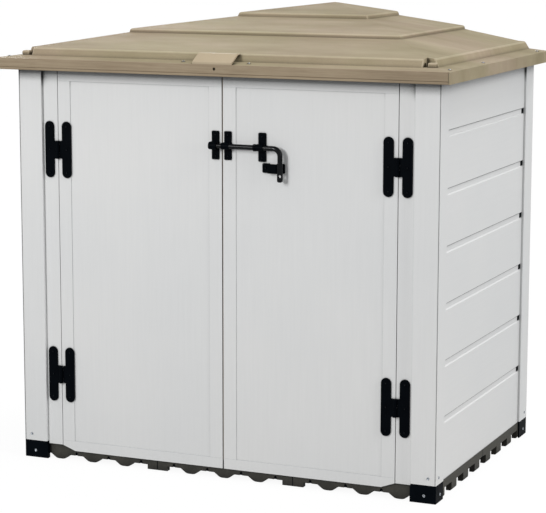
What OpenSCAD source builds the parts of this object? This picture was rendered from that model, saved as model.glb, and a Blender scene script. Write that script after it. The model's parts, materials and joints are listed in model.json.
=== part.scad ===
// A garden storage box with two hinged doors, a barrel bolt and a stepped roof.
// Lengths are in millimetres. The front is towards -Y and the ground is z = 0.

/* [Body] */
// Width over the corner posts
body_w = 1220; // [1120:10:1320]
// Depth over the corner posts
body_d = 820; // [760:10:920]
// Height of the posts and walls above the ground
frame_h = 1121; // [1100:1:1130]

/* [Floor tiles] */
// Tiles across the width
tiles_x = 3; // [2:1:4]
// Tiles from front to back
tiles_y = 2; // [1:1:3]
// Margin of the post face outside the tiles, at the sides
tile_side_margin = 4.3; // [4.2:0.1:8]
// Margin of the post face in front of the tiles
tile_front_margin = 14; // [14:0.5:16]
// Margin of the post face behind the tiles
tile_rear_margin = 6; // [5.5:0.5:8]
// Top of the tiles above the ground
tile_h = 47; // [46:1:52]
// Thickness of the deck of a tile
deck_t = 5; // [4:0.5:7]
// Thickness of the skirt and the ribs of a tile
rib_t = 3; // [2:0.5:5]
// Lower edge of the skirt above the ground
skirt_z = 13; // [8:1:18]
// Gap between two tiles
tile_gap = 0.4; // [0.2:0.1:1]
// Width of a front foot where it leaves the skirt
lobe_top_w = 60; // [50:1:66]
// Width of a front foot on the ground
lobe_foot_w = 24; // [16:1:40]
// Length of a side foot
side_foot_l = 42; // [30:1:50]
// Depth of the feet, inwards from the tile's edge
foot_depth = 16; // [12:1:22]
// Height of a side foot
side_foot_h = 25; // [20:1:30]
// Outer radius of an inner foot
inner_foot_r = 16; // [10:1:24]
// Width of the small arched slots in the front skirt
slot_w = 8; // [5:1:12]
// Height of the small arched slots
slot_h = 10; // [6:1:14]

/* [Posts and feet] */
// Long side of a post's section
post_long = 70; // [64:1:80]
// Short side of a post's section
post_short = 60; // [54:1:66]
// Wall of a post
post_wall = 3; // [2:0.5:4]
// Width of the groove along a post's outer corner
corner_groove = 2.2; // [1:0.1:3]
// Depth of that groove
corner_groove_d = 2; // [1:0.1:2.2]
// Width of the land between that groove and the corner
corner_land = 1.2; // [0.8:0.1:3]
// Top of a foot cap above the ground
cap_h = 49; // [48:0.5:55]
// Wall of a foot cap
cap_wall = 4; // [3:0.5:5]
// Step of a foot cap beyond the post's inner edge
cap_lip = 2; // [1:0.5:4]
// Length of the spigot that goes up into the post
spigot_l = 60; // [40:5:120]
// Wall of the spigot
spigot_wall = 4; // [3:0.5:6]
// Clearance between the spigot and the post
spigot_gap = 0.2; // [0.1:0.05:0.4]

/* [Walls] */
// Thickness of a wall plank
plank_t = 16; // [14:1:20]
// Set-back of the wall behind the post's face
wall_inset = 6; // [4:0.5:7]
// Height of the lowest plank
first_plank_h = 171; // [150:1:190]
// Height of each plank above it
plank_pitch = 150; // [145:1:152]
// Number of planks in a wall
planks = 7; // [7:1:7]
// Height of the rebate under each seam
rebate_h = 16; // [8:1:24]
// Depth of that rebate
rebate_d = 3; // [2:0.5:4]
// Height of the slope at the foot of the rebate
rebate_slope = 3; // [1:0.5:6]
// Width of the tongue on a plank's top and ends
tongue_w = 5; // [4:0.5:6]
// Height of the tongue on a plank's top
tongue_h = 6; // [4:0.5:10]
// Clearance all round a tongue
tongue_gap = 0.2; // [0.1:0.05:0.4]
// Length of the dark notch at the rear end of a side wall's rebate
notch_l = 14; // [10:1:30]
// Distance of that notch from the rear post
notch_end = 2; // [1:0.5:14]

/* [Doors] */
// Width of a stile
stile_w = 45.5; // [42:0.5:50]
// Depth of a stile
stile_d = 30; // [26:1:40]
// Wall of a stile
stile_wall = 3; // [2:0.5:4]
// Set-back of the stiles and leaves behind the post's face
door_inset = 9; // [8:0.5:11]
// Lower end of a stile above the ground
stile_z = 42; // [40:0.5:45]
// Lower edge of a leaf above the ground
leaf_z = 28; // [20:1:36]
// Gap between a leaf and the lintel above it
leaf_top_gap = 7; // [6:0.5:12]
// Gap between a leaf's lip and the tiles
leaf_tile_gap = 1; // [0.6:0.1:2]
// Thickness of a leaf
leaf_t = 20; // [18:1:26]
// Thickness of the lip that hangs in front of the tiles
lip_t = 4.5; // [3:0.1:4.6]
// Gap between a stile and its leaf
hinge_gap = 1.5; // [1:0.1:3]
// Gap between the two leaves
meeting_gap = 4; // [3.5:0.1:6]
// Width of the profiles on a leaf's upright edges
leaf_edge_w = 37; // [32:1:44]
// Height of the rails at a leaf's top and bottom
leaf_rail_h = 28; // [26:1:36]
// Depth of the panel behind the face of its frame
panel_inset = 1.5; // [0.8:0.1:2.5]
// Depth of the panel's edge inside its frame
panel_seat = 8; // [4:1:12]
// Width of the chamfer at the hinge side of a leaf's foot
foot_chamfer_w = 38; // [20:1:60]
// Height of that chamfer
foot_chamfer_h = 14; // [8:1:18]
// Width of the seal bead on the meeting edge
seal_w = 3; // [2:0.1:3.2]
// Depth of the seal bead
seal_d = 13; // [8:1:15]
// Lower end of the seal bead above the tiles
seal_low_gap = 4; // [2:1:10]
// Upper end of the seal bead below the leaf's top
seal_top_gap = 2; // [1:1:10]

/* [Hinges] */
// Width of a hinge strap
strap_w = 27.5; // [22:0.5:30]
// Height of a hinge strap
strap_h = 155; // [120:1:180]
// Thickness of a hinge plate
plate_t = 4; // [3:0.5:5]
// Gap from the hinge's axis to the stile's strap
stile_strap_gap = 12; // [10:0.5:14]
// Gap from the hinge's axis to the leaf's strap
leaf_strap_gap = 12.5; // [10:0.5:14]
// Height of the bridge between the straps
bridge_h = 48.5; // [36:0.5:60]
// Outer radius of the hinge barrel
barrel_r = 5.5; // [4.5:0.1:5.5]
// Distance of the hinge's axis in front of the leaf's face
axis_front = 6; // [6:0.1:7]
// Radius of the hinge pin
pin_r = 2.5; // [2:0.1:3]
// Clearance round the hinge pin
pin_gap = 0.05; // [0.03:0.01:0.1]
// Gap between two knuckles
knuckle_gap = 0.4; // [0.2:0.1:0.8]
// Gap between a bridge and the other plate's knuckles
bridge_gap = 0.5; // [0.4:0.1:0.8]
// Middle of the upper hinges above the ground
upper_hinge_z = 874; // [780:1:960]
// Middle of the lower hinges above the ground
lower_hinge_z = 245; // [140:1:340]

/* [Bolt] */
// Height of the rod above the ground
rod_z = 908; // [820:1:980]
// Radius of the rod
rod_r = 6.75; // [5:0.25:7.5]
// Distance of the rod's axis in front of the leaf's face
rod_front = 18; // [17:0.5:22]
// Clearance of the rod in the two keepers that guide it
keeper_gap = 0.3; // [0.2:0.05:0.6]
// Clearance of the rod in the left keeper, which catches it
catching_gap = 1.5; // [1:0.1:2]
// Travel of the rod
travel = 25; // [20:0.5:36]
// Width of a keeper
keeper_w = 21; // [16:1:22]
// Height of a keeper
keeper_h = 76; // [64:1:90]
// Thickness of the keepers and the catch plate
keeper_t = 3; // [2:0.5:4]
// Thickness of a keeper's loop
loop_t = 1.8; // [1.5:0.1:3]
// Radius of the plates' corners
plate_round = 3; // [1:0.5:5]
// Middle of the left keeper, left of the meeting line
keeper_left_x = 19; // [18:0.5:20]
// Middle of the middle keeper, right of the meeting line
keeper_middle_x = 17; // [15:0.5:22]
// Middle of the right keeper, right of the meeting line
keeper_right_x = 115.3; // [114:0.1:118]
// Middle of the locked handle, right of the meeting line
handle_x = 148; // [147.5:0.5:156]
// Radius of the rod's bend, on its centre line
bend_r = 20; // [16:1:22]
// Gap between the withdrawn rod and the left keeper
tip_gap = 1; // [0.6:0.1:2]
// Width of the stop collar
collar_w = 6; // [4:0.5:8]
// Outer radius of the stop collar
collar_r = 9.5; // [8.5:0.1:10]
// Clearance of the stop collar on the rod
collar_gap = 0.05; // [0.03:0.01:0.1]
// Gap between the collar and the right keeper when the rod is withdrawn
collar_stop_gap = 0.5; // [0.3:0.1:1]
// Distance of the handle's lower end below the rod
handle_drop = 88; // [84:1:100]
// Width of the handle's flat end
tab_w = 14; // [13:0.5:18]
// Thickness of the handle's flat end
tab_t = 6; // [5:0.5:8]
// Length of the handle's flat end
tab_l = 52; // [50:1:56]
// Radius of the flat end's corners
tab_round = 5; // [3:0.5:6]
// Length over which the rod runs into the flat end
tab_lap = 4; // [3:0.5:5]
// Radius of the padlock eye
eye_r = 4; // [3:0.1:4.5]
// Middle of the padlock eye above the handle's lower end
eye_up = 16; // [9:0.5:17]
// Width of the catch plate
catch_w = 63; // [56:1:72]
// Height of the catch plate
catch_h = 25; // [20:1:30]
// Distance of the catch plate's middle below the rod
catch_drop = 54; // [50:1:58]
// Width of the raised bridge of the catch plate
catch_bridge_w = 24; // [18:1:30]
// Gap between the catch plate's bridge and the handle
catch_gap = 0.6; // [0.4:0.1:1.5]

/* [Roof] */
// Overhang of the roof at each side
roof_side = 40; // [36:1:50]
// Overhang of the roof's shell at the front
roof_front = 52; // [48:1:60]
// Overhang of the roof at the back
roof_rear = 16; // [14:1:24]
// Thickness of the roof's shell
roof_t = 4; // [3:0.5:5]
// Height of the rim below the flange
rim_h = 31; // [30:1:34]
// Width of the flange at each side
flange_w = 58; // [54:1:66]
// Width of the flange at the front
flange_front = 42; // [38:1:46]
// Rise of the flange from its rim to the first riser
flange_rise = 6; // [2:0.5:9]
// Height of the first riser
riser_h = 20; // [16:1:26]
// Lean of the first riser
riser_lean = 9; // [4:0.5:12]
// Width of the ledge at the foot of the slopes
ledge_w = 16; // [8:1:24]
// Rise of that ledge
ledge_rise = 2; // [1:0.5:4]
// Rise of the first slope
slope_1_h = 32; // [26:1:40]
// Half width of the second step
step_2_w = 403; // [380:1:430]
// Distance of the second step behind the posts' front
step_2_y = 263; // [240:1:290]
// Height of the second step
step_2_h = 10; // [6:1:14]
// Lean of the second step
step_2_lean = 2; // [1:0.5:4]
// Rise of the second slope
slope_2_h = 26; // [20:1:34]
// Half width of the third step
step_3_w = 202; // [180:1:230]
// Distance of the third step behind the posts' front
step_3_y = 551; // [520:1:580]
// Height of the third step
step_3_h = 11; // [6:1:14]
// Lean of the third step
step_3_lean = 4; // [1:0.5:6]
// Rise of the third slope
slope_3_h = 24; // [18:1:30]
// Width of the notch at the front corners of the first step
notch_w = 30; // [26:1:40]
// Depth of that notch
notch_d = 36; // [32:1:46]
// Size of the small block in that notch
corner_block = 21; // [16:0.5:22]
// Height of that block
corner_block_h = 12; // [6:1:16]
// Distance of that block behind the first riser's foot
corner_block_in = 5; // [3:0.5:8]
// Width of the hole in the notch's side
notch_hole_w = 12; // [6:0.5:14]
// Height of that hole
notch_hole_h = 9; // [5:0.5:10]
// Thickness of the fascia strip
fascia_t = 5; // [4:0.5:7]
// Thickness of the roof's cheek at each end of the fascia
cheek_t = 3.5; // [2:0.5:6]
// Gap between the fascia and a cheek
cheek_gap = 1; // [0.6:0.1:2]
// Height of the groove above the fascia's lower edge
fascia_groove_z = 6; // [4:0.5:10]
// Width of that groove
fascia_groove_w = 2; // [1:0.1:3]
// Width of the fascia's hood
hood_w = 113; // [100:1:150]
// Thickness of the hood's sloping plate
hood_t = 4; // [3:0.5:5]
// Height of the hood's front edge above the flange
hood_lip = 6; // [4:0.5:8]
// Depth of the hood's flat ridge
hood_ridge = 14; // [10:1:18]
// Radius of the hole in the fascia
fascia_hole_r = 4; // [2.5:0.5:6]
// Distance of that hole to the right of the middle
fascia_hole_x = 7; // [0:0.5:12]
// Height of that hole above the fascia's lower edge
fascia_hole_z = 19.5; // [14:0.5:24]

/* [Rails] */
// Height of the lintel and the eaves rails
rail_h = 24; // [20:1:24]
// Wall of the lintel and the rails
rail_wall = 3; // [2:0.5:4]
// Gap between a rail and the roof's rim
rail_gap = 0.5; // [0.3:0.1:1]

/* [Screws] */
// Radius of a screw's shank
shank_r = 2; // [1.5:0.1:2.5]
// Radius of a screw's head
head_r = 4; // [3:0.1:5]
// Height of a screw's head
head_h = 2; // [1.5:0.1:3]
// Clearance of a shank in its hole
screw_gap = 0.05; // [0.03:0.01:0.1]
// Length of the screws in the doors, ironmongery and roof
screw_l = 14; // [12:1:16]
// Length of the screws through the foot caps
cap_screw_l = 28; // [26:1:30]
// Height of the cap screws above the ground
cap_screw_z = 20; // [16:1:22]
// Height of the post screws above the ground
post_screw_z = 67; // [62:1:90]
// Distance of the cap screws from the post's outer corner
cap_screw_in = 33; // [28:1:38]
// Distance of the post screws from the post's outer corner
post_screw_in = 22; // [16:1:26]
// Distance of the end screws from the end of a hinge strap
strap_screw_end = 14; // [12:1:20]
// Distance of the screws from the end of a keeper
keeper_screw_end = 10; // [8:1:12]
// Distance of the screws from the end of the catch plate
catch_screw_end = 9; // [8:0.5:11]
// Distance of the roof's side screws from its edge
roof_screw_in = 18; // [12:1:24]
// Distance of the first side screw from the shell's front edge
roof_screw_front = 44; // [30:1:70]
// Distance of the middle side screw from the body's front
roof_screw_mid = 268; // [200:1:460]
// Distance of the last side screw from the body's back
roof_screw_rear = 50; // [20:1:80]
// Distance of the roof's front screws from its middle
front_screw_x = 94; // [90:1:140]
// Distance of the front screws from the shell's front edge
front_screw_in = 22; // [16:1:28]
// Width of the rim of the pad under a roof screw
pad_rim = 1.5; // [1:0.1:3]

/* [Hidden] */
$fn = 48;
big = 5000;
body_x = body_w / 2;
roof_y0 = -roof_front - fascia_t;
roof_y1 = body_d + roof_rear;
plan_mid_y = (roof_y0 + roof_y1) / 2;

tile_x = (body_w - 2 * tile_side_margin) / tiles_x;
tile_y = (body_d - tile_front_margin - tile_rear_margin) / tiles_y;
foot_pitch_x = tile_x / 4;
foot_pitch_y = tile_y / 4;

stile_x = body_x - post_long;
leaf_x = stile_x - stile_w - hinge_gap;
leaf_edge_x = meeting_gap / 2;
axis_x = leaf_x + hinge_gap / 3;
leaf_top = frame_h - rail_h - leaf_top_gap;
door_y = door_inset;
axis_y = door_y - axis_front;
plate_y = door_y - plate_t;
panel_y = door_y + panel_inset;
knuckle_h = (bridge_h - 2 * knuckle_gap) / 3;
hinge_zs = [lower_hinge_z, upper_hinge_z];

rod_y = door_y - rod_front;
keeper_y = door_y - keeper_t;
tip_x = -keeper_left_x + keeper_w / 2 + tip_gap;
grip_x = handle_x + travel;
collar_x = keeper_right_x - keeper_w / 2 - collar_stop_gap - collar_w / 2;
tab_z = rod_z - handle_drop;
eye_z = tab_z + eye_up;
catch_z = rod_z - catch_drop;
keeper_screw_dz = keeper_h / 2 - keeper_screw_end;
catch_screw_dx = catch_w / 2 - catch_screw_end;

rear_y = body_d;
wall_top = frame_h;
wall_x = body_x - wall_inset;
wall_y = rear_y - wall_inset;

flange_z = frame_h + roof_t;
rim_z = flange_z - rim_h;
roof_x = body_x + roof_side;
step_1_x = roof_x - flange_w;
step_1_y = -roof_front + flange_front;
root_z = flange_z + flange_rise;
step_1_z = root_z + riser_h;
step_2_z = step_1_z + slope_1_h;
step_3_z = step_2_z + step_2_h + slope_2_h;
peak_z = step_3_z + step_3_h + slope_3_h;
rear_riser_y = roof_y1 - roof_t;
gable_y = rear_riser_y - 2 * riser_lean;
roof_screw_x = roof_x - roof_screw_in;
roof_screw_ys = [-roof_front + roof_screw_front, roof_screw_mid, body_d - roof_screw_rear];
front_screw_y = -roof_front + front_screw_in;
pad_r = head_r + pad_rim;
side_seat_z = flange_z + flange_rise * (roof_screw_in + pad_r + pad_rim) / flange_w;
front_seat_z = flange_z + flange_rise * (front_screw_in + pad_r + pad_rim) / flange_front;

left_planks = [for (i = [1 : planks]) str("left_plank_", i)];
right_planks = [for (i = [1 : planks]) str("right_plank_", i)];
back_planks = [for (i = [1 : planks]) str("back_plank_", i)];
tile_names = [for (iy = [1 : tiles_y], ix = [1 : tiles_x]) str("floor_tile_", ix, "_", iy)];
corners = ["front_left", "front_right", "rear_left", "rear_right"];
foot_names = [for (c = corners) str(c, "_foot")];
post_names = [for (c = corners) str(c, "_post")];
plain_names = [
    "left_stile", "right_stile", "door_lintel", "left_eaves_rail", "right_eaves_rail",
    "left_leaf_frame", "left_leaf_panel", "right_leaf_frame", "right_leaf_panel", "meeting_seal",
    "stile_hinge_plates", "left_leaf_hinge_plates", "right_leaf_hinge_plates", "hinge_pins",
    "left_keeper", "right_keepers", "catch_plate", "stop_collar", "bolt_rod",
    "roof_shell", "front_fascia", "frame_screws", "stile_hinge_screws",
    "left_leaf_screws", "right_leaf_screws"
];

white_pvc = [0.84, 0.85, 0.84];
tile_grey = [0.24, 0.24, 0.22];
black_plastic = [0.05, 0.06, 0.07];
taupe = [0.70, 0.66, 0.57];
fascia_brown = [0.60, 0.55, 0.47];
zinc = [0.75, 0.76, 0.78];
seal_beige = [0.63, 0.59, 0.54];

// The model is drawn with the posts' front at y = 0, and set over the middle of its plan.
module set_down() {
    translate([0, -plan_mid_y, 0])
        children();
}

// A box from one corner to the opposite one.
module block(low, high) {
    translate(low)
        cube([for (i = [0 : 2]) high[i] - low[i]]);
}

// A flat plate in the XZ plane, with round corners, from y0 back to y1.
module round_plate(x, z, w, h, r, y0, y1) {
    translate([x, y1, z])
        rotate([90, 0, 0])
            linear_extrude(y1 - y0) {
                if (w > 2 * r + 0.01)
                    square([w - 2 * r, h], center = true);
                if (h > 2 * r + 0.01)
                    square([w, h - 2 * r], center = true);
                for (sx = [-1, 1], sz = [-1, 1])
                    translate([sx * (w / 2 - r), sz * (h / 2 - r)])
                        circle(r);
            }
}

// A screw that goes back along +Y, with the seat of its head at y = 0.
module screw(length) {
    rotate([90, 0, 0]) {
        cylinder(h = head_h, r1 = head_r, r2 = head_r * 0.6);
        translate([0, 0, -length])
            cylinder(h = length, r = shank_r);
    }
}

// The hole for that screw.
module screw_hole(length) {
    translate([0, -head_h, 0])
        rotate([-90, 0, 0])
            cylinder(h = length + head_h, r = shank_r + screw_gap);
}

// Places of things that come at the corners: side is -1 or 1, and rear is 0 or 1.
function post_size(rear) = rear ? [post_short, post_long] : [post_long, post_short];

// Sets its children, drawn at the front right corner with their outer corner on the origin.
// They face inwards along -X and +Y.
module at_corner(side, rear) {
    translate([side * body_x, rear ? rear_y : 0, 0])
        scale([side, 1, 1])
            mirror([0, rear, 0])
                children();
}

// A floor tile: a deck with a skirt, ribs below, and feet along its edges.
module floor_tile(ix, iy) {
    is_front = iy == 1;
    is_rear = iy == tiles_y;
    is_left = ix == 1;
    is_right = ix == tiles_x;
    w = tile_x - tile_gap;
    d = tile_y - tile_gap;
    origin = [(ix - 1) * tile_x - body_x + tile_side_margin + tile_gap / 2,
              (iy - 1) * tile_y + tile_front_margin + tile_gap / 2, 0];
    color(tile_grey)
        set_down()
            difference() {
                translate(origin) {
                    tile_body(w, d, is_left, is_right);
                    if (is_front)
                        edge_lobes(w, ix > 1, ix < tiles_x);
                    if (is_rear)
                        translate([0, d, 0])
                            mirror([0, 1, 0])
                                edge_lobes(w, ix > 1, ix < tiles_x);
                }
                translate(origin) {
                    if (is_front)
                        skirt_slots(w);
                    if (is_rear)
                        translate([0, d - rib_t, 0])
                            skirt_slots(w);
                }
                cap_seats();
            }
}

module tile_body(w, d, is_left, is_right) {
    difference() {
        block([0, 0, skirt_z], [w, d, tile_h]);
        difference() {
            block([rib_t, rib_t, 0], [w - rib_t, d - rib_t, tile_h - deck_t]);
            tile_ribs(w, d);
        }
        if (is_left)
            side_recess(d);
        if (is_right)
            translate([w, 0, 0])
                mirror([1, 0, 0])
                    side_recess(d);
    }
    inner_feet();
    if (is_left)
        side_edge(d);
    if (is_right)
        translate([w, 0, 0])
            mirror([1, 0, 0])
                side_edge(d);
}

module tile_ribs(w, d) {
    for (i = [1 : 3]) {
        block([i * foot_pitch_x - rib_t / 2, 0, 0], [i * foot_pitch_x + rib_t / 2, d, tile_h]);
        block([0, i * foot_pitch_y - rib_t / 2, 0], [w, i * foot_pitch_y + rib_t / 2, tile_h]);
    }
}

module inner_feet() {
    for (i = [1 : 3], j = [1 : 3])
        translate([i * foot_pitch_x, j * foot_pitch_y, 0])
            difference() {
                cylinder(h = tile_h - deck_t, r = inner_foot_r);
                translate([0, 0, -1])
                    cylinder(h = tile_h - deck_t, r = inner_foot_r - rib_t);
            }
}

// Feet on a front edge, with a square half foot where two tiles meet.
module edge_lobes(w, meets_before, meets_after) {
    half_top = lobe_top_w / 2;
    half_foot = lobe_foot_w / 2;
    for (i = [1 : 3])
        translate([i * foot_pitch_x, foot_depth, skirt_z])
            rotate([90, 0, 0])
                linear_extrude(foot_depth)
                    polygon([[-half_top, 0], [-half_foot, -skirt_z], [half_foot, -skirt_z], [half_top, 0],
                             [half_top, rib_t], [-half_top, rib_t]]);
    if (meets_before)
        block([0, 0, 0], [half_top, foot_depth, skirt_z]);
    if (meets_after)
        block([w - half_top, 0, 0], [w, foot_depth, skirt_z]);
}

module skirt_slots(w) {
    for (i = [0 : 3])
        translate([(i + 0.5) * foot_pitch_x, rib_t + 1, skirt_z])
            rotate([90, 0, 0])
                linear_extrude(rib_t + 2) {
                    translate([-slot_w / 2, -1])
                        square([slot_w, slot_h - slot_w / 2 + 1]);
                    translate([0, slot_h - slot_w / 2])
                        circle(slot_w / 2);
                }
}

// Space taken out of a side skirt below the side feet's height.
module side_recess(d) {
    block([-1, -1, 0], [foot_depth, d + 1, side_foot_h]);
}

// The set-back lower wall of a side edge, its ledge, and its feet.
module side_edge(d) {
    low = skirt_z - rib_t;
    block([foot_depth, 0, low], [foot_depth + rib_t, d, side_foot_h + rib_t]);
    block([0, 0, side_foot_h], [foot_depth + rib_t, d, side_foot_h + rib_t]);
    for (j = [0 : 3])
        translate([0, (j + 0.5) * foot_pitch_y - side_foot_l / 2, 0])
            block([0, 0, 0], [foot_depth, side_foot_l, side_foot_h]);
}

// Space for the four caps' top plates and the screws through the caps.
module cap_seats() {
    for (side = [-1, 1], rear = [0, 1])
        at_corner(side, rear) {
            size = post_size(rear);
            block([-size[0] - 0.2, -1, cap_h - cap_wall], [1, size[1] + 0.2, big]);
            cap_screw_places(cap_screw_l)
                screw_hole(cap_screw_l);
        }
}

module cap_screw_places(length) {
    translate([-cap_screw_in, 0, cap_screw_z])
        children();
    translate([0, cap_screw_in, cap_screw_z])
        rotate([0, 0, 90])
            children();
}

module post_screw_places() {
    translate([-post_screw_in, 0, post_screw_z])
        children();
    translate([0, post_screw_in, post_screw_z])
        rotate([0, 0, 90])
            children();
}

// A foot: a cap over the tile's corner, and a spigot that goes up into the post.
module foot(side, rear) {
    size = post_size(rear);
    in = post_wall + spigot_gap;
    tile_out = rear ? tile_rear_margin : tile_front_margin;
    color(black_plastic)
        set_down()
            at_corner(side, rear)
                difference() {
                    union() {
                        cap_walls(size, tile_out);
                        difference() {
                            block([in - size[0], in, cap_h - 1], [-in, size[1] - in, cap_h + spigot_l]);
                            block([in + spigot_wall - size[0], in + spigot_wall, cap_h],
                                  [-in - spigot_wall, size[1] - in - spigot_wall, big]);
                        }
                    }
                    cap_screw_places(cap_screw_l)
                        screw_hole(cap_screw_l);
                    post_screw_places()
                        screw_hole(screw_l);
                }
}

module cap_walls(size, tile_out) {
    lip_top = stile_z - 0.5;
    block([-size[0], 0, cap_h - cap_wall], [0, size[1], cap_h]);
    block([-size[0], 0, 0], [0, cap_wall, cap_h]);
    block([-cap_wall, 0, 0], [0, size[1], cap_h]);
    block([-size[0] - cap_lip, 0, 0], [-size[0] + cap_wall, tile_out - 0.3, lip_top]);
}

// A hollow post with a groove along its outer corner and slots for the planks' ends.
module post(side, rear) {
    size = post_size(rear);
    slot = tongue_w + 2 * tongue_gap;
    mid = wall_inset + plank_t / 2;
    color(white_pvc)
        set_down()
            at_corner(side, rear)
                difference() {
                    block([-size[0], 0, cap_h], [0, size[1], frame_h]);
                    block([post_wall - size[0], post_wall, 0], [-post_wall, size[1] - post_wall, big]);
                    block([-corner_land - corner_groove, -1, 0], [-corner_land, corner_groove_d, big]);
                    block([-mid - slot / 2, size[1] - post_wall - 1, cap_h], [-mid + slot / 2, size[1] + 1, big]);
                    if (rear)
                        block([-size[0] - 1, mid - slot / 2, cap_h],
                              [-size[0] + post_wall + 1, mid + slot / 2, big]);
                    post_screw_places()
                        screw_hole(screw_l);
                }
}

function plank_low(i) = i == 1 ? tile_h : tile_h + first_plank_h + (i - 2) * plank_pitch;
function plank_high(i) = i == planks ? wall_top : plank_low(i + 1);

// A plank's section: x runs inwards from the outer face, and y is the height.
module plank_section(i) {
    low = plank_low(i);
    high = plank_high(i);
    mid = plank_t / 2;
    half = tongue_w / 2;
    half_slot = half + tongue_gap;
    last = i == planks;
    upper = last ? [[0, high], [plank_t, high]] : [
        [0, high - rebate_h - rebate_slope], [rebate_d, high - rebate_h], [rebate_d, high],
        [mid - half, high], [mid - half, high + tongue_h], [mid + half, high + tongue_h], [mid + half, high],
        [plank_t, high]];
    lower = i == 1 ? [[plank_t, low], [0, low]] : [
        [plank_t, low], [mid + half_slot, low], [mid + half_slot, low + tongue_h + tongue_gap],
        [mid - half_slot, low + tongue_h + tongue_gap], [mid - half_slot, low], [0, low]];
    polygon(concat(upper, lower));
}

// A plank of the given length along +Y, with its outer face towards +X at x = 0.
module plank(i, length, notched) {
    low = plank_low(i) + (i == 1 ? cap_h - tile_h + 1 : 0);
    high = plank_high(i);
    mid = plank_t / 2;
    difference() {
        union() {
            mirror([1, 0, 0])
                translate([0, length, 0])
                    rotate([90, 0, 0])
                        linear_extrude(length)
                            plank_section(i);
            difference() {
                block([-mid - tongue_w / 2, -post_wall, low], [-mid + tongue_w / 2, length + post_wall, high]);
                block([-plank_t, 0, 0], [0, length, big]);
            }
        }
        if (notched && i < planks)
            block([-mid + tongue_w / 2, length - notch_end - notch_l, high - rebate_h + 1],
                  [1, length - notch_end, high]);
    }
}

module side_plank(side, i) {
    front = post_size(0)[1];
    length = body_d - front - post_size(1)[1];
    color(white_pvc)
        set_down()
            translate([side * wall_x, front, 0])
                scale([side, 1, 1])
                    plank(i, length, true);
}

module back_plank(i) {
    half = body_x - post_size(1)[0];
    color(white_pvc)
        set_down()
            translate([half, wall_y, 0])
                rotate([0, 0, 90])
                    plank(i, 2 * half, false);
}

// Places of the screws of one strap, whose middle is at x.
module strap_screw_places(x) {
    for (z = hinge_zs, k = [-1, 0, 1])
        translate([x, plate_y, z + k * (strap_h / 2 - strap_screw_end)])
            children();
}

stile_strap_x = axis_x + stile_strap_gap + strap_w / 2;
leaf_strap_x = axis_x - leaf_strap_gap - strap_w / 2;

// A hollow stile beside a front post, with a lip in front of the tiles.
module stile(side) {
    x0 = stile_x - stile_w;
    rear = door_y + stile_d;
    color(white_pvc)
        set_down()
            scale([side, 1, 1])
                difference() {
                    union() {
                        block([x0, door_y, tile_h], [stile_x, rear, frame_h - rail_h]);
                        block([x0, door_y, stile_z], [stile_x, door_y + lip_t, tile_h + 1]);
                    }
                    block([x0 + stile_wall, door_y + stile_wall, tile_h + lip_t],
                          [stile_x - stile_wall, rear - stile_wall, big]);
                    block([stile_x - cap_lip, 0, 0], [big, rear + 1, cap_h + 0.2]);
                    strap_screw_places(stile_strap_x)
                        screw_hole(screw_l);
                }
}

// The outline of a leaf in the XZ plane, with its hinge-side foot cut off at a slant.
module leaf_outline() {
    polygon([[leaf_edge_x, leaf_z], [leaf_x - foot_chamfer_w, leaf_z], [leaf_x, leaf_z + foot_chamfer_h],
             [leaf_x, leaf_top], [leaf_edge_x, leaf_top]]);
}

// Takes an outline in the XZ plane from y0 back to y1.
module stand_outline(y0, y1) {
    translate([0, y1, 0])
        rotate([90, 0, 0])
            linear_extrude(y1 - y0)
                children();
}

// The space inside a leaf's frame, reaching past its inner edges by seat.
module panel_block(seat, y0, y1) {
    block([leaf_edge_x + leaf_edge_w - seat, y0, leaf_z + leaf_rail_h - seat],
          [leaf_x - leaf_edge_w + seat, y1, leaf_top - leaf_rail_h + seat]);
}

// All the screw holes of a leaf that is drawn on the right.
module leaf_holes(side) {
    strap_screw_places(leaf_strap_x)
        screw_hole(screw_l);
    if (side < 0)
        scale([-1, 1, 1])
            keeper_screw_places(-keeper_left_x)
                screw_hole(screw_l);
    else {
        keeper_screw_places(keeper_middle_x)
            screw_hole(screw_l);
        keeper_screw_places(keeper_right_x)
            screw_hole(screw_l);
        catch_screw_places()
            screw_hole(screw_l);
    }
}

// A leaf's frame: two edge profiles and two rails, grooved for the panel.
module leaf_frame(side) {
    y1 = door_y + leaf_t;
    color(white_pvc)
        set_down()
            scale([side, 1, 1])
                difference() {
                    stand_outline(door_y, y1)
                        leaf_outline();
                    panel_block(0, -big, big);
                    panel_block(panel_seat, door_y + panel_inset, y1 - panel_inset);
                    block([-1, door_y + lip_t, 0], [big, big, tile_h + leaf_tile_gap]);
                    leaf_holes(side);
                }
}

module leaf_panel(side) {
    y1 = door_y + leaf_t;
    color(white_pvc)
        set_down()
            scale([side, 1, 1])
                difference() {
                    panel_block(panel_seat, door_y + panel_inset, y1 - panel_inset);
                    block([-1, door_y + lip_t, 0], [big, big, tile_h + leaf_tile_gap]);
                    leaf_holes(side);
                }
}

// A bead on the right leaf's meeting edge, which closes most of the gap.
module meeting_seal() {
    y0 = door_y + (leaf_t - seal_d) / 2;
    color(seal_beige)
        set_down()
            block([leaf_edge_x - seal_w, y0, tile_h + seal_low_gap],
                  [leaf_edge_x, y0 + seal_d, leaf_top - seal_top_gap]);
}

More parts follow.
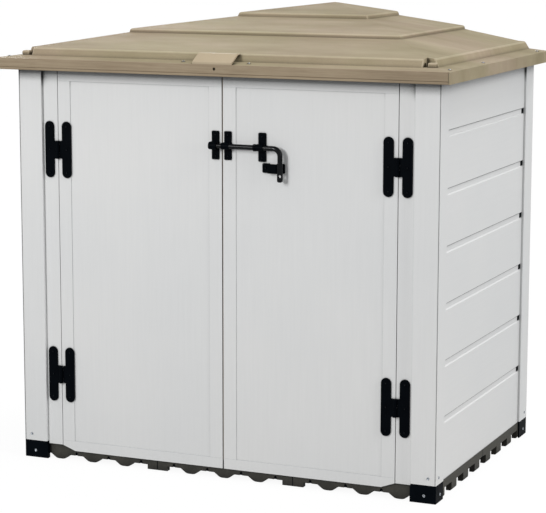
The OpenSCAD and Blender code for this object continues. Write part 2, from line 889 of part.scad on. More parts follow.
// One hinge plate: a strap, half a bridge, and the knuckles given in ks.
// dir is 1 where the strap lies outwards of the axis.
module hinge_plate(dir, strap_x, gap, ks) {
    for (z = hinge_zs)
        translate([0, 0, z])
            difference() {
                union() {
                    round_plate(strap_x, 0, strap_w, strap_h, strap_w / 2, plate_y, door_y);
                    bridge_part(dir, gap, barrel_r + bridge_gap, bridge_h);
                    for (k = ks)
                        translate([0, 0, k * (knuckle_h + knuckle_gap)]) {
                            bridge_part(dir, gap, 0, knuckle_h);
                            translate([axis_x, axis_y, 0])
                                cylinder(h = knuckle_h, r = barrel_r, center = true);
                        }
                }
                translate([axis_x, axis_y, 0])
                    cylinder(h = 2 * bridge_h, r = pin_r + pin_gap, center = true);
                for (k = [-1, 0, 1])
                    translate([strap_x, plate_y, k * (strap_h / 2 - strap_screw_end)])
                        screw_hole(screw_l);
            }
}

// The bridge between the strap and the axis, from the distance near outwards.
module bridge_part(dir, gap, near, h) {
    xs = [axis_x + dir * near, axis_x + dir * (gap + 1)];
    block([min(xs), plate_y, -h / 2], [max(xs), near > 0 ? door_y : axis_y + barrel_r, h / 2]);
}

module stile_hinge_plates() {
    color(black_plastic)
        set_down()
            for (side = [-1, 1])
                scale([side, 1, 1])
                    hinge_plate(1, stile_strap_x, stile_strap_gap, [-1, 1]);
}

module leaf_hinge_plates(side) {
    color(black_plastic)
        set_down()
            scale([side, 1, 1])
                hinge_plate(-1, leaf_strap_x, leaf_strap_gap, [0]);
}

module hinge_pins() {
    color(black_plastic)
        set_down()
            for (side = [-1, 1], z = hinge_zs)
                translate([side * axis_x, axis_y, z])
                    cylinder(h = bridge_h, r = pin_r, center = true);
}

module keeper_screw_places(x) {
    for (k = [-1, 1])
        translate([x, keeper_y, rod_z + k * keeper_screw_dz])
            children();
}

// A keeper: a plate with a loop at the distance gap from the rod, whose back lies on the face at seat_y.
module keeper(x, seat_y, gap) {
    inner = rod_r + gap;
    outer = inner + loop_t;
    difference() {
        union() {
            round_plate(x, rod_z, keeper_w, keeper_h, plate_round, keeper_y, seat_y);
            translate([x - keeper_w / 2, rod_y, rod_z]) {
                rotate([0, 90, 0])
                    cylinder(h = keeper_w, r = outer);
                block([0, 0, -outer], [keeper_w, keeper_y - rod_y + 1, outer]);
            }
        }
        translate([x - keeper_w / 2 - 1, rod_y, rod_z]) {
            rotate([0, 90, 0])
                cylinder(h = keeper_w + 2, r = inner);
            block([0, 0, -inner], [keeper_w + 2, keeper_y - rod_y, inner]);
        }
        keeper_screw_places(x)
            screw_hole(screw_l);
    }
}

module left_keeper() {
    color(black_plastic)
        set_down()
            keeper(-keeper_left_x, door_y, catching_gap);
}

module right_keepers() {
    color(black_plastic)
        set_down() {
            keeper(keeper_middle_x, door_y, keeper_gap);
            keeper(keeper_right_x, panel_y, keeper_gap);
        }
}

module catch_screw_places() {
    for (k = [-1, 1])
        translate([handle_x + k * catch_screw_dx, keeper_y, catch_z])
            children();
}

// The catch plate, whose raised middle lets a padlock's shackle pass behind it.
module catch_plate() {
    top = rod_y + tab_t / 2 + catch_gap;
    half = catch_bridge_w / 2;
    slope = 5;
    lean = 2;
    color(black_plastic)
        set_down()
            difference() {
                union() {
                    difference() {
                        round_plate(handle_x, catch_z, catch_w, catch_h, plate_round, keeper_y, panel_y);
                        block([handle_x - half, -big, 0], [handle_x + half, big, big]);
                    }
                    translate([handle_x, 0, catch_z - catch_h / 2])
                        linear_extrude(catch_h)
                            polygon([[-half - slope, keeper_y], [-half, top], [half, top],
                                     [half + slope, keeper_y], [half + slope, panel_y], [half, panel_y],
                                     [half, keeper_y], [half - lean, top + keeper_t],
                                     [lean - half, top + keeper_t], [-half, keeper_y], [-half, panel_y],
                                     [-half - slope, panel_y]]);
                }
                catch_screw_places()
                    screw_hole(screw_l);
            }
}

module stop_collar() {
    color(black_plastic)
        set_down()
            translate([collar_x, rod_y, rod_z])
                rotate([0, 90, 0])
                    difference() {
                        cylinder(h = collar_w, r = collar_r, center = true);
                        cylinder(h = 2 * collar_w, r = rod_r + collar_gap, center = true);
                    }
}

// The rod, drawn withdrawn: a straight shank, a bend and a handle with a padlock eye.
module bolt_rod() {
    bend_x = grip_x - bend_r;
    bend_z = rod_z - bend_r;
    tab_top = tab_z + tab_l;
    color(black_plastic)
        set_down()
            translate([0, rod_y, 0])
                difference() {
                    union() {
                        translate([tip_x + 2, 0, rod_z])
                            rotate([0, 90, 0])
                                cylinder(h = bend_x - tip_x - 2, r = rod_r);
                        translate([tip_x, 0, rod_z])
                            rotate([0, 90, 0])
                                cylinder(h = 2, r1 = rod_r - 2, r2 = rod_r);
                        translate([bend_x, 0, bend_z])
                            rotate([90, 0, 0])
                                rotate_extrude(angle = 90)
                                    translate([bend_r, 0])
                                        circle(rod_r);
                        translate([grip_x, 0, tab_top - tab_lap])
                            cylinder(h = bend_z - tab_top + tab_lap, r = rod_r);
                        round_plate(grip_x, tab_z + tab_l / 2, tab_w, tab_l, tab_round, -tab_t / 2, tab_t / 2);
                    }
                    translate([grip_x, 0, eye_z])
                        rotate([90, 0, 0])
                            cylinder(h = 2 * tab_w, r = eye_r, center = true);
                }
}

// A hollow rail between two corners, open at its ends along X or Y.
module hollow_rail(low, high, along) {
    hollow = [for (i = [0 : 2]) i == along ? -big : low[i] + rail_wall];
    hollow_end = [for (i = [0 : 2]) i == along ? big : high[i] - rail_wall];
    difference() {
        block(low, high);
        block(hollow, hollow_end);
    }
}

// The lintel: a header between the posts and a ledge in front of them, under the roof's flange.
module door_lintel() {
    low = frame_h - rail_h;
    front = -roof_front + roof_t + rail_gap;
    color(white_pvc)
        set_down()
            difference() {
                union() {
                    hollow_rail([-body_x, front, low], [body_x, 0, frame_h], 0);
                    hollow_rail([-stile_x, -1, low], [stile_x, door_y + stile_d, frame_h], 0);
                }
                roof_screw_places(true, false)
                    screw_hole(screw_l);
            }
}

module eaves_rail(side) {
    low = frame_h - rail_h;
    front = -roof_front + roof_t + rail_gap;
    color(white_pvc)
        set_down()
            difference() {
                scale([side, 1, 1])
                    hollow_rail([body_x, front, low],
                                [roof_x - roof_t - rail_gap, rear_riser_y - rail_gap, frame_h], 1);
                roof_screw_places(false, true)
                    screw_hole(screw_l);
            }
}

// Places of the roof's screws, which point down.
module roof_screw_places(fronts, sides) {
    if (fronts)
        for (side = [-1, 1])
            translate([side * front_screw_x, front_screw_y, front_seat_z])
                rotate([-90, 0, 0])
                    children();
    if (sides)
        for (side = [-1, 1], y = roof_screw_ys)
            translate([side * roof_screw_x, y, side_seat_z])
                rotate([-90, 0, 0])
                    children();
}

// Top of the flange at the first riser's foot. The flange is level underneath.
function root(t) = (t > 0 ? flange_z : root_z) - t;

// Half widths and heights of the roof, outside for t = 0 and inside for t above 0.
function roof_half(t) = [
    [roof_x - t, flange_z - t], [step_1_x - t, root(t)], [step_1_x - riser_lean - t, step_1_z - t],
    [step_1_x - riser_lean - ledge_w - t, step_1_z + ledge_rise - t], [step_2_w - t, step_2_z - t],
    [step_2_w - step_2_lean - t, step_2_z + step_2_h - t], [step_3_w - t, step_3_z - t],
    [step_3_w - step_3_lean - t, step_3_z + step_3_h - t], [0, peak_z - t]];

// The same heights against the front edge, for the side view.
function roof_front_line(t) = [
    [-roof_front + t, flange_z - t], [step_1_y + t, root(t)], [step_1_y + riser_lean + t, step_1_z - t],
    [step_1_y + riser_lean + ledge_w + t, step_1_z + ledge_rise - t], [step_2_y + t, step_2_z - t],
    [step_2_y + step_2_lean + t, step_2_z + step_2_h - t], [step_3_y + t, step_3_z - t],
    [step_3_y + step_3_lean + t, step_3_z + step_3_h - t], [gable_y - t, peak_z - t]];

// The roof's solid form down to the height foot, for t = 0, or the hollow inside it.
module roof_form(t, foot) {
    half = roof_half(t);
    count = len(half);
    left = [for (i = [count - 2 : -1 : 0]) [-half[i][0], half[i][1]]];
    difference() {
        intersection() {
            translate([0, big, 0])
                rotate([90, 0, 0])
                    linear_extrude(2 * big)
                        polygon(concat([[roof_x - t, foot]], half, left, [[-roof_x + t, foot]]));
            rotate([90, 0, 90])
                translate([0, 0, -big])
                    linear_extrude(2 * big)
                        polygon(concat([[-roof_front + t, foot]], roof_front_line(t),
                                       [[gable_y - t, step_1_z + ledge_rise - t],
                                        [rear_riser_y - riser_lean - t, step_1_z - t],
                                        [rear_riser_y - t, flange_z - t], [roof_y1 - t, flange_z - t],
                                        [roof_y1 - t, foot]]));
        }
        for (side = [-1, 1])
            scale([side, 1, 1])
                block([step_1_x - notch_w - t, -big, root(t)], [big, step_1_y + notch_d + t, big]);
    }
}

// The stepped roof shell, open below.
module roof_shell() {
    color(taupe)
        set_down()
            difference() {
                union() {
                    difference() {
                        roof_form(0, rim_z);
                        roof_form(roof_t, rim_z - 1);
                    }
                    corner_blocks();
                    fascia_cheeks();
                    roof_screw_places(true, true)
                        rotate([-90, 0, 0])
                            cylinder(h = roof_t, r = pad_r);
                }
                roof_screw_places(true, true)
                    screw_hole(screw_l);
                notch_holes();
            }
}

// A small block in each front corner's notch.
module corner_blocks() {
    x1 = step_1_x + cheek_t / 2;
    y0 = step_1_y + corner_block_in;
    for (side = [-1, 1])
        scale([side, 1, 1])
            block([x1 - corner_block, y0, flange_z], [x1, y0 + corner_block, root_z + corner_block_h]);
}

// A hole in the side of each notch, into the space under the roof.
module notch_holes() {
    x1 = step_1_x - notch_w;
    y1 = step_1_y + notch_d - roof_t - notch_hole_w / 2;
    for (side = [-1, 1])
        scale([side, 1, 1])
            block([x1 - roof_t - 1, y1 - notch_hole_w, root_z + 1], [x1 + 1, y1, root_z + 1 + notch_hole_h]);
}

// The roof's sides, brought forward past the ends of the fascia.
module fascia_cheeks() {
    for (side = [-1, 1])
        scale([side, 1, 1])
            block([roof_x - cheek_t, -roof_front - fascia_t, rim_z], [roof_x, -roof_front + roof_t, flange_z]);
}

// The fascia strip on the roof's front, with a hood in its middle.
module front_fascia() {
    front = -roof_front - fascia_t;
    half = roof_x - cheek_t - cheek_gap;
    top = flange_z + hood_lip;
    groove = rim_z + fascia_groove_z;
    hood_y = step_1_y + riser_lean * 3 / 4;
    hood_z = step_1_z + 1;
    under_z = hood_z - hood_t;
    color(fascia_brown)
        set_down()
            difference() {
                union() {
                    block([-half, front, rim_z], [half, -roof_front, flange_z]);
                    translate([-hood_w / 2, 0, 0])
                        rotate([90, 0, 90])
                            linear_extrude(hood_w)
                                polygon([[front, flange_z - hood_t], [front, top], [hood_y - hood_ridge, hood_z],
                                         [hood_y, hood_z], [hood_y, under_z],
                                         [hood_y - hood_ridge + hood_t / 2, under_z],
                                         [-roof_front, top - hood_t], [-roof_front, flange_z - hood_t]]);
                }
                translate([-big, front, groove])
                    rotate([45, 0, 0])
                        cube([2 * big, fascia_groove_w / sqrt(2), fascia_groove_w / sqrt(2)]);
                translate([fascia_hole_x, front - 1, rim_z + fascia_hole_z])
                    rotate([-90, 0, 0])
                        cylinder(h = fascia_t + 2, r = fascia_hole_r);
            }
}

module frame_screws() {
    color(zinc)
        set_down() {
            for (side = [-1, 1], rear = [0, 1])
                at_corner(side, rear) {
                    cap_screw_places(cap_screw_l)
                        screw(cap_screw_l);
                    post_screw_places()
                        screw(screw_l);
                }
            roof_screw_places(true, true)
                screw(screw_l);
        }
}

module stile_hinge_screws() {
    color(black_plastic)
        set_down()
            for (side = [-1, 1])
                scale([side, 1, 1])
                    strap_screw_places(stile_strap_x)
                        screw(screw_l);
}

module left_leaf_screws() {
    color(black_plastic)
        set_down() {
            scale([-1, 1, 1])
                strap_screw_places(leaf_strap_x)
                    screw(screw_l);
            keeper_screw_places(-keeper_left_x)
                screw(screw_l);
        }
}

module right_leaf_screws() {
    color(black_plastic)
        set_down() {
            strap_screw_places(leaf_strap_x)
                screw(screw_l);
            keeper_screw_places(keeper_middle_x)
                screw(screw_l);
            keeper_screw_places(keeper_right_x)
                screw(screw_l);
            catch_screw_places()
                screw(screw_l);
        }
}

for (iy = [1 : tiles_y], ix = [1 : tiles_x])
    floor_tile(ix, iy);
for (c = [0 : 3])
    foot(c % 2 == 0 ? -1 : 1, floor(c / 2));
for (c = [0 : 3])
    post(c % 2 == 0 ? -1 : 1, floor(c / 2));
for (i = [1 : planks])
    side_plank(-1, i);
for (i = [1 : planks])
    side_plank(1, i);
for (i = [1 : planks])
    back_plank(i);
stile(-1);  // left_stile
stile(1);  // right_stile
door_lintel();
eaves_rail(-1);  // left_eaves_rail
eaves_rail(1);  // right_eaves_rail
leaf_frame(-1);  // left_leaf_frame
leaf_panel(-1);  // left_leaf_panel
leaf_frame(1);  // right_leaf_frame
leaf_panel(1);  // right_leaf_panel
meeting_seal();
stile_hinge_plates();
leaf_hinge_plates(-1);  // left_leaf_hinge_plates
leaf_hinge_plates(1);  // right_leaf_hinge_plates
hinge_pins();
left_keeper();
right_keepers();
catch_plate();
stop_collar();
bolt_rod();
roof_shell();
front_fascia();
frame_screws();
stile_hinge_screws();
left_leaf_screws();
right_leaf_screws();
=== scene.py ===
"""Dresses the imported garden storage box: soft edges, screw heads, finishes, floor, light and camera."""

import json
import math

import bmesh
import bpy
from mathutils import Matrix, Vector


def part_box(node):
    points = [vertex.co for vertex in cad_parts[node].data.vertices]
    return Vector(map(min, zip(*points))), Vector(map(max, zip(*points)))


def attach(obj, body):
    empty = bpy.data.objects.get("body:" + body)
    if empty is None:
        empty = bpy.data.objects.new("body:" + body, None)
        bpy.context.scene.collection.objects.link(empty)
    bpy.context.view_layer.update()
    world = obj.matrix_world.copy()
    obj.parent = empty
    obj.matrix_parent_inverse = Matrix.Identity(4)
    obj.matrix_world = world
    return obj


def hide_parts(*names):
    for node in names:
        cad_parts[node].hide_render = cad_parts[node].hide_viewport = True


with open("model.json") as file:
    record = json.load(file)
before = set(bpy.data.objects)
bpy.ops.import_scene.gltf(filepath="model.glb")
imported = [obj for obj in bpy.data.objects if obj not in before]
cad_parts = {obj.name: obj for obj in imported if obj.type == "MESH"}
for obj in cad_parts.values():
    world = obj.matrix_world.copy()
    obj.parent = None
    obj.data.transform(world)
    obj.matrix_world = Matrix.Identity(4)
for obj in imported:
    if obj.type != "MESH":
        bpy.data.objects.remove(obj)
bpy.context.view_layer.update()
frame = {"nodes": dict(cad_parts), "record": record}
nodes = frame["nodes"]
slots = {part["node"]: part["material_slot"] for part in frame["record"]["subparts"]}
bodies = frame["record"]["behaviour"]["bodies"]
body_of_node = {name: body for body, names in bodies.items() for name in names}
MM = 0.001
X, Y, Z = range(3)
MERGE = 0.005 * MM
SCREW_NODES = ("frame_screws", "stile_hinge_screws", "left_leaf_screws", "right_leaf_screws")


def link_object(name, data):
    """A new object of a mesh, a lamp or a camera, put into the scene."""
    made = bpy.data.objects.new(name, data)
    bpy.context.scene.collection.objects.link(made)
    return made


# Camera, fitted to the photograph's 546 by 513 frame with no lens shift.
PHOTO_WIDTH = 546
FOCAL_PIXELS = 2053.1
SENSOR_WIDTH = 36
FAR_CLIP = 300
CAMERA_PLACE = (2.2611, -5.2794, 1.5109)
CAMERA_YAW = -0.40758
CAMERA_PITCH = 0.1654
CAMERA_ROLL = 0.0014


def make_camera():
    data = bpy.data.cameras.new("photo_camera")
    data.sensor_width = SENSOR_WIDTH
    data.lens = FOCAL_PIXELS / PHOTO_WIDTH * SENSOR_WIDTH
    data.clip_end = FAR_CLIP
    ahead = Vector((math.sin(CAMERA_YAW) * math.cos(CAMERA_PITCH),
                    math.cos(CAMERA_YAW) * math.cos(CAMERA_PITCH), -math.sin(CAMERA_PITCH)))
    level_right = Vector((math.cos(CAMERA_YAW), -math.sin(CAMERA_YAW), 0))
    level_up = level_right.cross(ahead)
    right = level_right * math.cos(CAMERA_ROLL) + level_up * math.sin(CAMERA_ROLL)
    up = level_up * math.cos(CAMERA_ROLL) - level_right * math.sin(CAMERA_ROLL)
    turn = Matrix((right, up, -ahead)).transposed().to_4x4()
    camera = link_object("photo_camera", data)
    camera.matrix_world = Matrix.Translation(CAMERA_PLACE) @ turn
    bpy.context.scene.camera = camera


# Node trees of the materials and of the world.
NOISE_LOW, NOISE_HIGH = 0.3, 0.7
AO_SAMPLES = 8
COAT_ROUGHNESS = 0.12
MIX_FACTOR, MIX_FIRST, MIX_SECOND, MIX_RESULT = 0, 6, 7, 2
WHITE = (1, 1, 1, 1)


def linear(red, green, blue):
    """A photograph's 0 to 255 colour as the shader's linear one."""
    def one(value):
        share = value / 255
        return share / 12.92 if share <= 0.04045 else ((share + 0.055) / 1.055) ** 2.4
    return (one(red), one(green), one(blue), 1)


class Graph:
    """The node tree of a material or of the world, with short calls for the nodes used here."""

    def __init__(self, owner, output_kind):
        owner.use_nodes = True
        self.owner = owner
        self.tree = owner.node_tree
        self.tree.nodes.clear()
        self.output = self.add(output_kind)
        self.place = None

    def add(self, kind, **values):
        made = self.tree.nodes.new(kind)
        for key, value in values.items():
            setattr(made, key, value)
        return made

    def link(self, source, target):
        self.tree.links.new(source, target)

    def feed(self, socket, value):
        """Links another node's output to a socket, or sets the socket to a plain value."""
        if isinstance(value, bpy.types.NodeSocket):
            self.link(value, socket)
        else:
            socket.default_value = value

    def object_place(self):
        if self.place is None:
            self.place = self.add("ShaderNodeTexCoord").outputs["Object"]
        return self.place

    def noise(self, scale, stretch=(1, 1, 1), detail=4, roughness=0.5):
        mapping = self.add("ShaderNodeMapping")
        mapping.inputs["Scale"].default_value = stretch
        self.link(self.object_place(), mapping.inputs["Vector"])
        made = self.add("ShaderNodeTexNoise")
        for key, value in (("Scale", scale), ("Detail", detail), ("Roughness", roughness)):
            made.inputs[key].default_value = value
        self.link(mapping.outputs["Vector"], made.inputs["Vector"])
        return made.outputs["Fac"]

    def height(self):
        made = self.add("ShaderNodeSeparateXYZ")
        self.link(self.object_place(), made.inputs[0])
        return made.outputs["Z"]

    def ramp(self, factor, low_colour, high_colour, low=NOISE_LOW, high=NOISE_HIGH):
        """Blends two linear colours while the factor runs from low to high."""
        made = self.add("ShaderNodeValToRGB")
        first, last = made.color_ramp.elements
        first.position, last.position = low, high
        first.color, last.color = low_colour, high_colour
        self.link(factor, made.inputs["Fac"])
        return made.outputs["Color"]

    def tones(self, factor, low_tone, high_tone, low=NOISE_LOW, high=NOISE_HIGH):
        """The same blend between two 0 to 255 colours."""
        return self.ramp(factor, linear(*low_tone), linear(*high_tone), low, high)

    def span(self, factor, to_low, to_high, low=NOISE_LOW, high=NOISE_HIGH):
        """Runs from one value to another while the factor runs from low to high."""
        made = self.add("ShaderNodeMapRange")
        for key, value in zip(("From Min", "From Max", "To Min", "To Max"), (low, high, to_low, to_high)):
            made.inputs[key].default_value = value
        self.link(factor, made.inputs["Value"])
        return made.outputs["Result"]

    def mix(self, factor, first, second, blend="MIX"):
        made = self.add("ShaderNodeMix", data_type="RGBA", blend_type=blend)
        for place, value in ((MIX_FACTOR, factor), (MIX_FIRST, first), (MIX_SECOND, second)):
            self.feed(made.inputs[place], value)
        return made.outputs[MIX_RESULT]

    def multiply(self, first, second):
        return self.mix(1.0, first, second, "MULTIPLY")

    def bump(self, height, strength, distance, below=None):
        """A bump, on top of the normal of another one if it is given."""
        made = self.add("ShaderNodeBump")
        made.inputs["Strength"].default_value = strength
        made.inputs["Distance"].default_value = distance
        self.link(height, made.inputs["Height"])
        if below:
            self.link(below, made.inputs["Normal"])
        return made.outputs["Normal"]

    def crevice(self, colour, distance, shade, closed=0.35, clear=0.95):
        """Paints shade: darkens the colour to a share of itself where a surface closes in within the
        distance.
        """
        open_share = self.add("ShaderNodeAmbientOcclusion", samples=AO_SAMPLES)
        open_share.inputs["Distance"].default_value = distance
        grey = self.ramp(open_share.outputs["AO"], (shade, shade, shade, 1), WHITE, closed, clear)
        return self.multiply(colour, grey)

    def surface(self, colour, roughness, normal=None, metallic=0, specular=0.5, coat=0, ior=1.5):
        """Ends a material in one plain shader, and gives the material back."""
        shader = self.add("ShaderNodeBsdfPrincipled")
        for key, value in (
                ("Base Color", colour), ("Roughness", roughness), ("Metallic", metallic), ("IOR", ior),
                ("Specular IOR Level", specular), ("Coat Weight", coat), ("Coat Roughness", COAT_ROUGHNESS)):
            self.feed(shader.inputs[key], value)
        if normal:
            self.link(normal, shader.inputs["Normal"])
        self.link(shader.outputs["BSDF"], self.output.inputs["Surface"])
        return self.owner

    def seen_or_lit(self, seen, lit):
        """Ends in one shader for the rays that show the background, and in another for all others."""
        path = self.add("ShaderNodeLightPath")
        shown = path.outputs["Is Camera Ray"]
        for kind in ("Is Glossy Ray", "Is Transmission Ray"):
            either = self.add("ShaderNodeMath", operation="MAXIMUM")
            self.link(shown, either.inputs[0])
            self.link(path.outputs[kind], either.inputs[1])
            shown = either.outputs[0]
        choice = self.add("ShaderNodeMixShader")
        for socket, source in zip(choice.inputs, (shown, lit.outputs[0], seen.outputs[0])):
            self.link(source, socket)
        self.link(choice.outputs[0], self.output.inputs["Surface"])


def material_graph(name):
    return Graph(bpy.data.materials.new(name), "ShaderNodeOutputMaterial")


# Materials. Noise scales are per metre, and colours are 0 to 255.
# Above these heights the white plastic gets a painted shadow under the eaves.
EAVES_FROM, EAVES_TO = 1040 * MM, 1070 * MM
GRAIN_STRETCH = 0.035
HOOD_FOOT = 1125.5 * MM
FULL = (255, 255, 255)


def white_pvc(name, along):
    """Off-white extruded plastic with a faint grain along one axis, with painted shade in its corners and a
    stronger painted shadow under the eaves.
    """
    graph = material_graph(name)
    stretch = [1, 1, 1]
    stretch[along] = GRAIN_STRETCH
    grain = graph.noise(150, stretch, detail=6, roughness=0.6)
    cloud = graph.noise(2.2, detail=3)
    base = graph.tones(cloud, (224, 225, 225), (229, 229, 228))
    streak = graph.tones(grain, (252, 252, 252), FULL)
    # Painted shade where surfaces close in, and a deeper painted shadow below the roof's overhang.
    colour = graph.crevice(graph.multiply(base, streak), 6 * MM, 0.6)
    eaves_shadow_mask = graph.span(graph.height(), 0, 1, EAVES_FROM, EAVES_TO)
    colour = graph.mix(eaves_shadow_mask, colour, graph.crevice(colour, 60 * MM, 0.1, closed=0.5, clear=0.85))
    rough = graph.span(grain, 0.42, 0.52)
    return graph.surface(colour, rough, graph.bump(grain, 0.04, 0.2 * MM), specular=0.3)


def roof_taupe(name, highlight_lift):
    """Taupe moulded plastic with a fine orange-peel texture, soft mottling between olive and pink, and
    painted shade where surfaces close in. A lift above 0 lightens it into a painted highlight.
    """
    graph = material_graph(name)
    cloud = graph.noise(5, (0.45, 1.3, 1), detail=6, roughness=0.6)
    drift = graph.noise(2.4, (1, 1.6, 1))
    speck = graph.noise(420, detail=3)

    def mottled(*tones):
        lifted = [[value + highlight_lift for value in tone] for tone in tones]
        return graph.tones(cloud, *lifted, 0.32, 0.68)

    olive = mottled((152, 141, 114), (176, 164, 137))
    pink = mottled((155, 140, 117), (181, 165, 143))
    base = graph.mix(graph.span(drift, 0, 1, 0.4, 0.6), olive, pink)
    fine = graph.tones(speck, (242, 242, 242), FULL)
    # Painted shade at the feet of the risers and in other hollows.
    colour = graph.crevice(graph.multiply(base, fine), 12 * MM, 0.25, closed=0.5, clear=0.97)
    rough = graph.span(speck, 0.62, 0.76)
    normal = graph.bump(speck, 0.22, 0.4 * MM, below=graph.bump(cloud, 0.10, 4 * MM))
    return graph.surface(colour, rough, normal, specular=0.1, ior=1.3)


def fascia_brown():
    """Grey-brown strip with a grain that runs along X, a paler hood above the strip, and painted shade where
    surfaces close in.
    """
    graph = material_graph("fascia_brown")
    grain = graph.noise(170, (0.05, 1, 1), detail=6, roughness=0.65)
    cloud = graph.noise(6)
    base = graph.tones(cloud, (152, 136, 113), (166, 150, 126))
    streak = graph.tones(grain, (226, 222, 216), FULL, 0.32, 0.68)
    hood = graph.tones(cloud, (172, 156, 130), (188, 172, 146))
    above = graph.span(graph.height(), 0, 1, HOOD_FOOT, HOOD_FOOT + MM)
    # Painted shade in the hollows of the strip and of its hood.
    colour = graph.crevice(graph.mix(above, graph.multiply(base, streak), hood), 20 * MM, 0.5)
    rough = graph.span(grain, 0.46, 0.60)
    return graph.surface(colour, rough, graph.bump(grain, 0.25, 0.5 * MM), specular=0.2)


def tile_grey():
    """Dark recycled plastic with a coarse matt skin, pale dust in places, and painted shade where surfaces
    close in, as on the flanks of the feet.
    """
    graph = material_graph("tile_grey")
    cloud = graph.noise(22, detail=6, roughness=0.6)
    speck = graph.noise(500, detail=3)
    base = graph.tones(cloud, (58, 58, 54), (84, 82, 76), high=0.75)
    fine = graph.tones(speck, (228, 228, 228), FULL)
    # Painted shade on the feet's flanks and in other hollows.
    colour = graph.crevice(graph.multiply(base, fine), 30 * MM, 0.25)
    normal = graph.bump(speck, 0.35, 0.5 * MM, below=graph.bump(cloud, 0.15, 2 * MM))
    return graph.surface(colour, graph.span(cloud, 0.58, 0.75), normal, specular=0.15)


def black_plastic():
    """Black moulded plastic with a slight sheen."""
    graph = material_graph("black_plastic")
    speck = graph.noise(600, detail=3)
    cloud = graph.noise(30)
    colour = graph.tones(cloud, (1, 4, 8), (5, 9, 14))
    normal = graph.bump(speck, 0.20, 0.3 * MM)
    return graph.surface(colour, graph.span(cloud, 0.50, 0.62), normal, specular=0.02)


def black_ironmongery(name, rough, coat):
    """Black powder coat: an even fine peel, dull on the plates and polished on the rod that slides."""
    graph = material_graph(name)
    peel = graph.noise(900, detail=2)
    cloud = graph.noise(40, detail=3)
    colour = graph.tones(cloud, (1, 3, 6), (3, 6, 10))
    normal = graph.bump(peel, 0.15, 0.2 * MM)
    return graph.surface(colour, graph.span(cloud, rough, rough + 0.1), normal, specular=0.02, coat=coat)


def seal_beige():
    """Soft beige sealing strip."""
    graph = material_graph("seal_beige")
    speck = graph.noise(300, detail=3)
    colour = graph.tones(speck, (158, 148, 136), (174, 163, 150))
    return graph.surface(colour, 0.75, graph.bump(speck, 0.2, 0.3 * MM), specular=0.25)


def zinc():
    """Bright zinc plate with a faint blotch."""
    graph = material_graph("zinc")
    cloud = graph.noise(260)
    colour = graph.tones(cloud, (94, 99, 105), (172, 177, 183))
    return graph.surface(colour, graph.span(cloud, 0.16, 0.30), metallic=1)


def joint_shade(name, low_tone, high_tone):
    """The shaded inside of a joint or of a recess, faintly uneven."""
    graph = material_graph(name)
    colour = graph.tones(graph.noise(60, detail=3), low_tone, high_tone)
    return graph.surface(colour, 0.8, specular=0.1)


materials = {
    "roof_taupe": roof_taupe("roof_taupe", 0),
    "fascia_brown": fascia_brown(),
    "tile_grey": tile_grey(),
    "black_plastic": black_plastic(),
    "black_ironmongery": black_ironmongery("black_ironmongery", rough=0.42, coat=0),
    "seal_beige": seal_beige(),
    "zinc": zinc()
}
pvc = [white_pvc("white_pvc_" + axis, along) for along, axis in enumerate("xyz")]
rod_black = black_ironmongery("black_rod", rough=0.22, coat=0.22)
# A lighter copy of the roof's plastic for its rounded edges: a painted highlight.
roof_edge_highlight = roof_taupe("roof_taupe_painted_highlight", 20)
# Flat greys of painted shade for the wall seams, the leaves' panel lines and the screws' recesses.
seam_dark = joint_shade("seam_shade", (120, 123, 124), (138, 141, 142))
panel_joint_shade = joint_shade("panel_joint_shade", (188, 191, 192), (200, 203, 204))
recess_dark = joint_shade("recess_shade", (26, 27, 29), (40, 42, 45))


def grain_axis(name):
    """The axis that a white piece was extruded along: its longest side, and upright on the leaves."""
    if "leaf" in name:
        return Z
    low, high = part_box(name)
    return max((X, Y, Z), key=lambda axis: high[axis] - low[axis])


def finish_of(name):
    if name == "bolt_rod":
        return rod_black
    if slots[name] == "white_pvc":
        return pvc[grain_axis(name)]
    return materials[slots[name]]


# Pieces copied from the CAD nodes, with their moulded or rolled edges rounded.
SOFT_EDGES = {
    "roof_shell": 4.2 * MM, "front_fascia": 1.4 * MM, "_post": 1.0 * MM, "_foot": 1.2 * MM,
    "_stile": 1.2 * MM, "hinge_plates": 0.6 * MM, "keeper": 0.5 * MM, "catch_plate": 0.5 * MM
}
LOBE_ROUND = 6 * MM
# The roof's roundings take the painted highlight as their second material.
EDGE_HIGHLIGHT = {"roof_shell": roof_edge_highlight}
# An edge is rounded from the angle CORNER on, and faces that meet at less than FLAT count as one.
CORNER = math.radians(25)
FLAT = math.radians(0.05)
ALIGNED = 0.99
# The room that a rounding needs on its own edge and on the edges next to it, in widths.
OWN_ROOM, NEAR_ROOM = 2.5, 2.2
# Normals blend between faces that meet at less than BLEND. BROAD is the least area of a broad face.
BLEND = math.radians(50)
BROAD = 150 * MM * MM


def roundable(edge, width, along=None):
    """A long outer edge, along one axis if told so, whose neighbours leave room for the rounding."""
    if along is not None and abs((edge.verts[1].co - edge.verts[0].co).normalized()[along]) < ALIGNED:
        return False
    if len(edge.link_faces) != 2 or edge.calc_face_angle_signed(0) < CORNER:
        return False
    near = {other for point in edge.verts for other in point.link_edges} - {edge}
    return edge.calc_length() >= OWN_ROOM * width and all(
        other.calc_length() > NEAR_ROOM * width for other in near)


def shade(mesh):
    """Broad flat faces keep their own normal, and the roundings run smoothly from one to the next."""
    around = [[] for point in mesh.vertices]
    for face in mesh.polygons:
        for corner in face.vertices:
            around[corner].append(face)

    def broad(face):
        return face.material_index == 0 and face.area > BROAD

    normals = []
    for face in mesh.polygons:
        for corner in face.vertices:
            near = [face]
            if not broad(face):
                near = [other for other in around[corner] if other.normal.angle(face.normal, 0) < BLEND]
                near = [other for other in near if broad(other)] or near
            normals.append(sum((other.normal * other.area for other in near), Vector()).normalized())
    mesh.normals_split_custom_set(normals)


